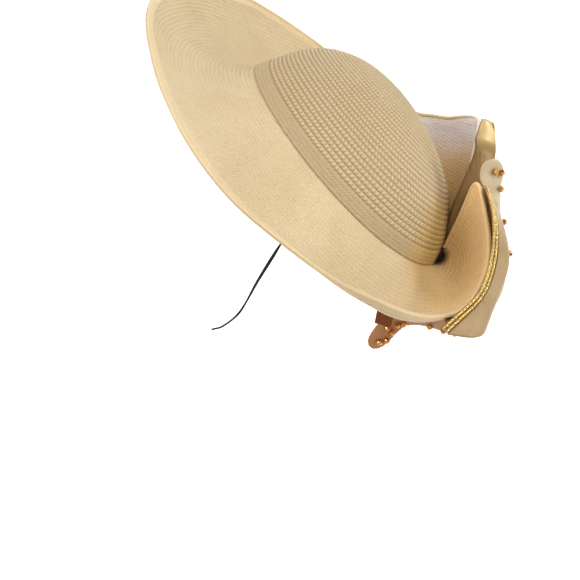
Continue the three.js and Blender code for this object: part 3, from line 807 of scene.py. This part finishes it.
def gem():
    """Foil-backed stone: each facet has its own share of a range from dark amber to bright yellow, painted
    reflections and glints.
    """
    made, t, shader = material(
        "amber_stone", Metallic=0.5, Roughness=0.08, Coat_Weight=1.0, Coat_Roughness=0.03
    )
    facet = t.mask("facet")
    # Dark, amber and bright facets: painted reflections and glints
    low = t.mix(t.span(facet, 0.35, 0.5), (0.05, 0.01, 0.001, 1), (0.75, 0.25, 0.012, 1))
    t.put(shader["Base Color"], t.mix(t.span(facet, 0.8, 0.85), low, (1.0, 0.72, 0.16, 1)))
    return made


def stone_setting():
    """Gold cup of a stone, unevenly dark."""
    made, t, shader = material("stone_setting", Metallic=0.9, Roughness=0.3)
    uneven = use(t, UNEVEN, Scale=400.0)["Fac"]
    t.put(shader["Base Color"], t.mix(uneven, (0.2, 0.07, 0.015, 1), (0.5, 0.23, 0.06, 1)))
    return made


piping_gold, elastic_black, amber, setting_gold = gold_cord(), elastic_cover(), gem(), stone_setting()


def slit_masks(outer, glow):
    """Masks of a shell's second face alone, the painted shade at the slit's foot and the painted golden
    shadow
    round it: each falls in a line to 0 at its reach from the foot, over its soft last mm."""
    away = size_of(outer - SLIT_FOOT)
    foot = np.clip((FOOT_REACH - away) / FOOT_SOFT, 0, 1)
    return {"foot": (0, foot), "glow": (0, glow * np.clip((GOLD_SHADOW_REACH - away) / GOLD_SHADOW_SOFT, 0, 1))}


def rising(turn, start, over):
    """0 up to the turn start, then ((turn - start) / over)^1.5, and 1 from there on."""
    return np.clip((turn - start) / over, 0, 1) ** 1.5


def finish_piece(piece, looks, node):
    """Gives a piece its materials, and says which body it rides on, which node it replaces."""
    for look in looks:
        piece.data.materials.append(look)
    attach(piece, "root")
    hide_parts(node)
    return piece


# Crown and its band

def crown():
    """Rounded rows of braid on the crown's surface, CROWN_STEPS steps to a row: the outer face stands out by
    0.34 ridge - 0.26, fading at the tip. The lowest row lies inside the band."""
    middle, turn = crown_rows(-WALL / 2, CROWN_COUNT * CROWN_STEPS, 288)
    normal = -normals(middle, wrap=True)
    normal[:, -1] = unit(normal[:, -2].mean(axis=0))
    count = np.arange(middle.shape[1]) / CROWN_STEPS
    fade = np.clip((CROWN_COUNT - count) / 1.5, 0, 1)
    relief = (0.34 * ridge(count + 0.5) - 0.26) * fade
    outer = middle + normal * (WALL / 2 + relief)[:, None]
    inner = middle - normal * (WALL / 2 + 0.5 * relief)[:, None]
    uv = uv_grid((turn / 360)[:, None], count + 0.5)
    # Painted shade at the slit's foot and painted golden shadow round it, on the outside
    masks = slit_masks(outer, 0.85)
    return shell("crown_straw", inner, outer, uv, masks, wrap=True, pole=True, period=1.0)


def crown_band():
    """Plain band of four flat braids round the crown's foot, a little uneven, its top rim rounded in."""
    level = np.linspace(-0.04, BAND_TOP - 0.05, 21)
    turn = round_turns(264)
    middle = crown_surface(turn[:, None], level[None, :], 0.4 - WALL / 2)
    normal = -normals(middle, wrap=True)
    share = np.linspace(0, 1, len(level))
    rim = -0.3 * np.exp(-(1 - share) * 30)
    wave = 0.3 * ripple(turn[:, None] * 1.7, BAND_HEIGHT * share, 31, 9) * np.sin(np.pi * share)
    outer = middle + normal * (WALL / 2 + rim + wave)[..., None]
    inner = middle - normal * (WALL / 2)
    uv = uv_grid((turn / 360)[:, None], share * 4)
    # Painted shade at the slit's foot and painted golden shadow round it, on the outside
    return shell("crown_band_straw", inner, outer, uv, slit_masks(outer, 0.85), wrap=True, period=1.0)


finish_piece(crown(), [straw_crown], "crown")
finish_piece(crown_band(), [straw_band], "crown_band")


# Brim and the wired edge

def brim_stations(count):
    """Places spaced evenly along the brim's middle line, with more at the two rounded corners."""
    last = len(BRIM) - 1
    fine = np.linspace(0, last, 4000)
    run = lengths_along(brim_surface(fine, np.full_like(fine, 0.7)))
    even = np.interp(np.linspace(0, run[-1], count), run, fine)
    near = np.array([0.02, 0.05, 0.09, 0.14, 0.2, 0.27, 0.35])
    return np.unique(np.concatenate([even, near, last - near]))


def brim():
    """The straw sheet: rows of braid BRIM_PITCH apart counted from the crown's seam, stronger at the front, a
    flat hem inside the wired edge and along both lips of the slit, and a slow unevenness."""
    place = brim_stations(330)
    last = len(BRIM) - 1
    reach, _ = corner(place)
    span = size_of(brim_surface(place, reach) - brim_surface(place, 0 * place))
    step = np.linspace(-0.02, 1, 137)[None, :]
    t = step * (reach + 1.2 / span)[:, None]
    every = np.broadcast_to(place[:, None], t.shape)
    middle = brim_surface(every, t)
    length = lengths_along(middle, axis=1)
    whole = lengths_along(brim_surface(every, step + 0 * t), axis=1)
    edge = whole[:, -1:] - length
    for lip in (0.0, float(last)):
        side = size_of(middle - brim_surface(np.full_like(t, lip), t))
        near = np.abs(place - lip)[:, None] < 3
        edge = np.where(near, np.minimum(edge, side), edge)
    edge = edge + 2 * BEAD_RADIUS
    run = lengths_along(brim_surface(place, np.full_like(place, 0.5)))
    share = run / run[-1]
    row = length / BRIM_PITCH
    turn = along(BRIM, place)[:, :1] + 0 * edge
    ahead = np.exp(-((turn + 12) / 42) ** 2)
    inside = np.clip((edge - HEM) / 2, 0, 1)
    relief = (0.16 * ridge(row, 0.8) - 0.1) * inside * np.clip(length / 4 - 0.5, 0, 1) * (1 + ahead)
    bulge = 0.12 * np.exp(-((edge - 5) / 1.6) ** 2)
    uneven = 0.3 * ripple(run[:, None], length, 5, 40) * np.clip(length / 20, 0, 1)
    normal = normals(middle)
    front = middle - normal * (WALL / 2 + relief + bulge + uneven)[..., None]
    back = middle + normal * (WALL / 2 + relief - uneven)[..., None]
    uv = uv_grid(share[:, None], row)
    # The flaps' painted light: warm reflected light on the near one, a lighter tone and sheen on the far one
    near = rising(turn, 140, 30)
    masks = {"edge": edge, "front": ahead, "near_flap_warm_light": 0.9 * near, "far_flap_light": (0, rising(-turn, 95, 30))}
    # Painted shade at the slit's foot and painted golden shadow round it, less where the near flap's light is
    # painted
    masks.update(slit_masks(front, 0.75 * (1 - 0.6 * near)))
    return shell("brim_straw", back, front, uv, masks)


def wired_edge():
    """Bead along the whole edge: up one lip, round the brim and down the other, its centre a radius and a gap
    outside the straw sheet, turned about the corners with the quarter circle."""
    last = len(BRIM) - 1
    lip = np.linspace(0.22, 0.97, 40)
    place_at = brim_stations(560)
    reach, round_at = corner(place_at)
    stops = np.concatenate([
        np.stack([0 * lip, lip, 0 * lip + 1], axis=1)[lip < reach[0] - 0.02],
        np.stack([place_at, reach, round_at], axis=1),
        np.stack([0 * lip + last, lip, 0 * lip + 1], axis=1)[lip < reach[-1] - 0.02][::-1],
    ])
    place, t, turned = stops.T
    right = place < last / 2
    p = brim_surface(place, t)
    outward = unit(p - brim_surface(place, t - 0.02))
    sideways = unit(p - brim_surface(np.where(right, place + 0.1, place - 0.1), t))
    up = unit(np.cross(outward, sideways)) * np.where(right, 1, -1)[:, None]
    a = (np.pi / 2 * turned)[:, None]
    out = outward * np.cos(a) + sideways * np.sin(a)
    out = unit(out - up * np.sum(out * up, axis=1, keepdims=True))
    middle = p + out * (BEAD_RADIUS - 0.2)
    run = lengths_along(middle)
    sides = 14
    around = circle_angles(sides)
    size = BEAD_RADIUS * (1 + 0.03 * np.sin(run[:, None] / 1.6 + around))
    rings = rings_round(middle, out, size, up, size, sides)
    uv = uv_grid(run[:, None], around / (2 * np.pi) * 3)
    turn = along(BRIM, place)[:, 0]
    # The bead carries the flaps' painted light too
    masks = {"near_flap_warm_light": 0.8 * rising(turn, 140, 30), "far_flap_light": 0.5 * rising(-turn, 140, 25)}
    return tube("brim_edge_bead", rings, uv, masks=masks)


finish_piece(brim(), [straw_brim], "brim")
finish_piece(wired_edge(), [straw_bead], "brim_binding")


# Satin sash, fold and tail

def sash_surface(place, v):
    """place counts the sash's table rows from the top hem, v runs from the left tuck, -1, to the right one:
    a smooth curve from the middle over the fold to the piped edge, then straight to the tuck."""
    tuck, line, fold, mid = (along(rows, place) for rows in (SASH_TUCK, SASH_LINE, SASH_FOLD, SASH_MID))
    flat = (mid + fold) / 2 + unit(fold - line) * SATIN_HALF
    k = np.abs(v)
    curve = centripetal(np.stack([mid, flat, fold, line], axis=-2), np.minimum(k / SASH_EDGE, 1))
    beyond = np.clip((k - SASH_EDGE) / (1 - SASH_EDGE), 0, 1)[:, None]
    point = curve + (tuck - line)[:, None, :] * beyond[None]
    right = v > 0
    point[:, right, 1] *= -1
    pull = RIGHT_PULL * np.minimum(place, 1)[:, None] * np.abs(point[:, right, 1])
    point[:, right] += pull[..., None] * np.array((-0.69, 0, -0.72))
    return point


def satin_sheet(name, middle, half, folds, uv, masks=None):
    """Two faces half a thickness to each side of a grid, both moved by the folds along its normal."""
    normal = normals(middle)
    front, back = (middle + normal * (folds + away)[..., None] for away in (half, -half))
    return shell(name, front, back, uv, masks)


def sash():
    """The sash with long slanting waves and a slow unevenness, calm at its piped edges, with its flat width
    and length and its area in metres."""
    place = np.linspace(0, len(SASH_MID) - 1, 91)
    v = np.linspace(-1, 1, 201)
    middle = sash_surface(place, v)
    across = lengths_along(middle, axis=1)
    down = lengths_along(middle, axis=0)
    calm = np.minimum(np.abs(np.abs(v) - SASH_EDGE) * 8, 1)[None, :]
    folds = calm * (0.35 * np.sin(down * 0.05 + across * 0.12) + 0.2 * ripple(across, down, 8, 30))
    made = satin_sheet("sash_satin", middle, SATIN_HALF, folds, uv_grid(across, down))
    return made, (across.max() / 1000, down.max() / 1000), area(middle)


def strip(name, rows, spread, steps, pleats, crinkle, seed, crease_shade=0.0):
    """A strip of satin 1 mm thick: rows give its middle line and width, spread the direction its width lies
    in. pleats gives the height of its long pleats at v, from -0.5 to 0.5 across; fine creases of height
    crinkle(v) lie on top of them. The crease mask falls from crease_shade at the edge v = -0.5."""
    place = np.linspace(0, len(rows) - 1, steps + 1)
    row = along(rows, place)
    run = heading(rows, place)
    spread = np.array(spread)
    side = unit(spread - run * (run @ spread)[:, None])
    face = np.cross(run, side)
    v = np.linspace(-0.5, 0.5, 37)
    across = row[:, 3:4] * v
    flat = row[:, None, :3] + side[:, None] * across[..., None]
    middle = flat + face[:, None] * pleats(v)[None, :, None]
    down = lengths_along(row[:, :3])
    creases = crinkle(v) * ripple(across * 3, down[:, None] * 0.7, seed, 9)
    masks = {"crease": crease_shade * np.exp(-((v + 0.5) / 0.09) ** 2)}
    made = satin_sheet(name, middle, 0.5, creases, uv_grid(across, down[:, None]), masks)
    return made, (row[:, 3].max() / 1000, down[-1] / 1000), area(middle)


sash_piece, sash_flat, sash_area = sash()
finish_piece(sash_piece, [panel_satin], "satin_sash")
fold_piece, fold_flat, fold_area = strip(
    "fold_satin", FOLD, (0.88, 0.16, 0.44), 200, lambda v: 0.7 - 1.4 * np.cos(np.pi * v) ** 0.8,
    lambda v: 0.08 + 0.35 * np.exp(-((v + 0.44) / 0.1) ** 2), 21, 0.85,
)
finish_piece(fold_piece, [gold_satin], "satin_fold")
tail_piece, tail_flat, tail_area = strip(
    "tail_satin", TAIL, (0.67, 0.25, 0.7), 80, lambda v: 0.5 * np.sin(2 * np.pi * v + 0.6),
    lambda v: 0.3 + 0 * v, 22,
)
finish_piece(tail_piece, [shaded_gold_satin], "satin_tail")


# Piping, scroll and stones

def piping():
    """Two cords side by side in front of each piped edge of the sash: three strands, each a lobe of the
    section that turns once in STRAND_PITCH."""
    ahead = SATIN_HALF + 2 * GAP + PIPING_RADIUS
    last = len(SASH_MID) - 1
    place = np.linspace(0, last, 260)
    sides = 18
    around = circle_angles(sides)

    def line(at, v):
        return sash_surface(np.clip(at, 0, last), np.array([v]))[:, 0]

    for side, sign in (("left", -1), ("right", 1)):
        v = sign * SASH_EDGE
        edge = line(place, v)
        run = unit(line(place + 0.1, v) - line(place - 0.1, v))
        back = line(place, sign * 0.6) - edge
        out = -unit(back - run * np.sum(back * run, axis=1, keepdims=True))
        up = np.cross(run, out)
        for lane, which in enumerate(("outer", "inner")):
            middle = edge + out * (ahead + lane * (2 * PIPING_RADIUS + GAP))
            down = lengths_along(middle)
            strands = down[:, None] / STRAND_PITCH
            lobe = np.abs(np.sin(1.5 * (around + 2 * np.pi * strands))) ** 0.8
            size = PIPING_RADIUS * (0.8 + 0.24 * lobe)
            rings = rings_round(middle, out, size, up, size, sides)
            uv = uv_grid(around / (2 * np.pi), strands)
            name = "piping_" + side + "_" + which
            finish_piece(tube(name + "_cord", rings, uv), [piping_gold], name)


def scroll_frame(share):
    """Middle, width direction, outward face and half width of the scroll at a share of its length."""
    place = (len(SCROLL) - 1) * np.asarray(share, float)
    row = along(SCROLL, place)
    run = heading(SCROLL, place)
    lean = np.radians(row[..., 4])
    outward = unit(np.stack([-run[..., 2], 0 * lean, run[..., 0]], axis=-1))
    wide = outward * np.sin(lean)[..., None]
    wide[..., 1] += np.cos(lean)
    wide = unit(wide - run * np.sum(wide * run, axis=-1, keepdims=True))
    return row[..., :3], wide, unit(np.cross(run, wide)), row[..., 3] / 2


def scroll():
    """Padded strip: flat ellipses round the scroll's line, pinched a little along the edge by its seam and
    puffed up and down by a slow sine."""
    share = np.linspace(0, 1, 241)
    middle, wide, face, half = scroll_frame(share)
    sides = 36
    a = circle_angles(sides)
    down = lengths_along(middle)
    tall = (SCROLL_THICK / 2) * np.minimum(1, half / 4)
    gather = 1 + 0.02 * np.sin(down[:, None] * 1.7) * np.abs(np.cos(a)) ** 4
    puff = 0.92 + 0.08 * np.sin(down[:, None] * 0.35 + 1.0)
    rings = rings_round(middle, wide, half[:, None] * gather, face, tall[:, None] * puff, sides)
    uv = uv_grid(half[:, None] * np.cos(a), down[:, None])
    return tube("scroll_satin", rings, uv)


def stone(index, place, across):
    """A cut stone in a small cup: table, eight star, eight kite and sixteen girdle facets over a gold rim."""
    middle, wide, face, half = scroll_frame(place)
    lift = SCROLL_THICK / 2 * math.sqrt(1 - across**2) + 2 * GAP
    seat = middle + wide * across * half + face * lift
    side = np.cross(face, wide)
    turn = 0.7 * index

    def circle(radius, height, count, offset=0.0):
        a = turn + 2 * np.pi * (np.arange(count) + offset) / count
        flat = wide[None] * np.cos(a)[:, None] + side[None] * np.sin(a)[:, None]
        return seat + flat * radius + face * height

    r, h = STONE_RADIUS, STONE_DEPTH
    rings = [
        circle(r * 0.62, 0, 16), circle(r * 0.98, h * 0.22, 16), circle(r, h * 0.46, 16),
        circle(r * 0.9, h * 0.5, 16), circle(r * 0.86, h * 0.56, 16), circle(r * 0.72, h * 0.8, 8, 0.5),
        circle(r * 0.5, h, 8),
    ]
    starts = np.cumsum([0] + [len(x) for x in rings])
    faces = [list(range(starts[0] + 15, starts[0] - 1, -1))]
    for level in range(4):
        a, b = starts[level], starts[level + 1]
        faces += [[a + k, a + (k + 1) % 16, b + (k + 1) % 16, b + k] for k in range(16)]
    metal = len(faces) - 16
    girdle, kite, table = starts[4], starts[5], starts[6]
    for k in range(8):
        n = (k + 1) % 8
        p = (k - 1) % 8
        faces.append([girdle + 2 * k, girdle + 2 * k + 1, kite + k])
        faces.append([girdle + 2 * k + 1, girdle + (2 * k + 2) % 16, kite + k])
        faces.append([girdle + 2 * k, kite + k, table + k, kite + p])
        faces.append([kite + k, table + n, table + k])
    faces.append([table + k for k in range(8)])
    slots = np.array([1] * metal + [0] * (len(faces) - metal))
    made = make("stone_%02d_cut" % index, to_row(np.concatenate(rings)), faces, smooth=False, slots=slots)
    # A random share for each facet, for its painted reflection
    facet = np.random.default_rng(100 + index).uniform(0, 1, len(faces))
    facet[-1] = 0.75
    made.data.attributes.new("facet", "FLOAT", "FACE").data.foreach_set("value", facet.astype(np.float32))
    return made


piping()
finish_piece(scroll(), [cream_satin], "scroll")
for index, (place, across) in enumerate(STONES, 1):
    finish_piece(stone(index, place, across), [amber, setting_gold], "stone_%02d" % index)


# Chin elastic

def elastic():
    """Round cord along the centripetal curve through ELASTIC, in 360 even steps; its path and its length."""
    dense = centripetal(ELASTIC, np.linspace(0, 1, 3000))
    run = lengths_along(dense)
    even = np.linspace(0, run[-1], 361)
    middle = np.stack([np.interp(even, run, dense[:, k]) for k in range(3)], axis=1)
    ahead = unit(np.gradient(middle, axis=0))
    across = unit(np.cross(ahead, (0, 0.2, 1.0)))
    up = np.cross(ahead, across)
    sides = 12
    rings = rings_round(middle, across, ELASTIC_RADIUS, up, ELASTIC_RADIUS, sides)
    around = np.arange(sides) / sides
    uv = uv_grid(around, even[:, None] / (2 * ELASTIC_RADIUS))
    return tube("elastic_cord", rings, uv, in_row=True), middle / 1000, run[-1] / 1000


elastic_piece, elastic_path, elastic_length = elastic()
finish_piece(elastic_piece, [elastic_black], "chin_elastic")


# Backdrop, lights and tone

def backdrop():
    """Pale floor, a little greyer in front of the hat, that rises behind it in a quarter circle and glows
    softly there, so that it shows as one even white."""
    low, radius, far = -0.42, 1.5, 3.5
    angle = np.linspace(0, np.pi / 2, 25)
    y = np.concatenate([[-6, -2, 0, 1], far - radius + radius * np.sin(angle), [far]])
    z = np.concatenate([[low] * 4, low + radius - radius * np.cos(angle), [6.0]])
    x = np.array([-9.0, 9.0])
    points = np.stack([np.repeat(x, len(y)), np.tile(y, 2), np.tile(z, 2)], axis=1)
    made = make("backdrop", points, quads(np.arange(2 * len(y)).reshape(2, -1)))
    look, t, shader = material("backdrop_paper", Roughness=0.9)
    behind = t.node("ShaderNodeSeparateXYZ", t.place()).outputs[1]
    shader["Emission Color"].default_value = (1, 1, 1, 1)
    paper = t.mix(t.span(behind, 0.0, 0.4), (0.6, 0.58, 0.55, 1), (0.9, 0.9, 0.9, 1))
    t.put(shader["Base Color"], paper)
    t.put(shader["Emission Strength"], t.span(behind, 0.1, 0.45, 0.0, 0.75))
    made.data.materials.append(look)


def lamp(name, where, size, power, colour):
    """A square soft light that looks at the origin."""
    data = bpy.data.lights.new(name, "AREA")
    data.shape = "SQUARE"
    data.size = size
    data.energy = power
    data.color = colour
    made = in_scene(name, data)
    made.location = where
    made.rotation_euler = (-Vector(where)).to_track_quat("-Z", "Y").to_euler()


backdrop()
lamp("key", (1.4, -1.8, 1.5), 1.0, 35, (1.0, 0.985, 0.94))
lamp("window", (2.4, -1.0, 0.1), 0.5, 18, (1.0, 0.97, 0.9))
lamp("rim", (2.27, 1.24, 0.76), 0.4, 12, (1.0, 0.97, 0.9))
lamp("fill", (-1.4, -1.6, 0.1), 1.2, 9, (1.0, 0.86, 0.66))
lamp("sky", (-1.46, -1.02, 1.6), 0.8, 22, (0.95, 0.94, 1.0))

world = bpy.data.worlds.new("studio")
world.use_nodes = True
sky = world.node_tree.nodes["Background"].inputs
sky["Color"].default_value = (1, 0.9, 0.73, 1)
sky["Strength"].default_value = 0.42
bpy.context.scene.world = world
bpy.context.scene.view_settings.view_transform = "Standard"
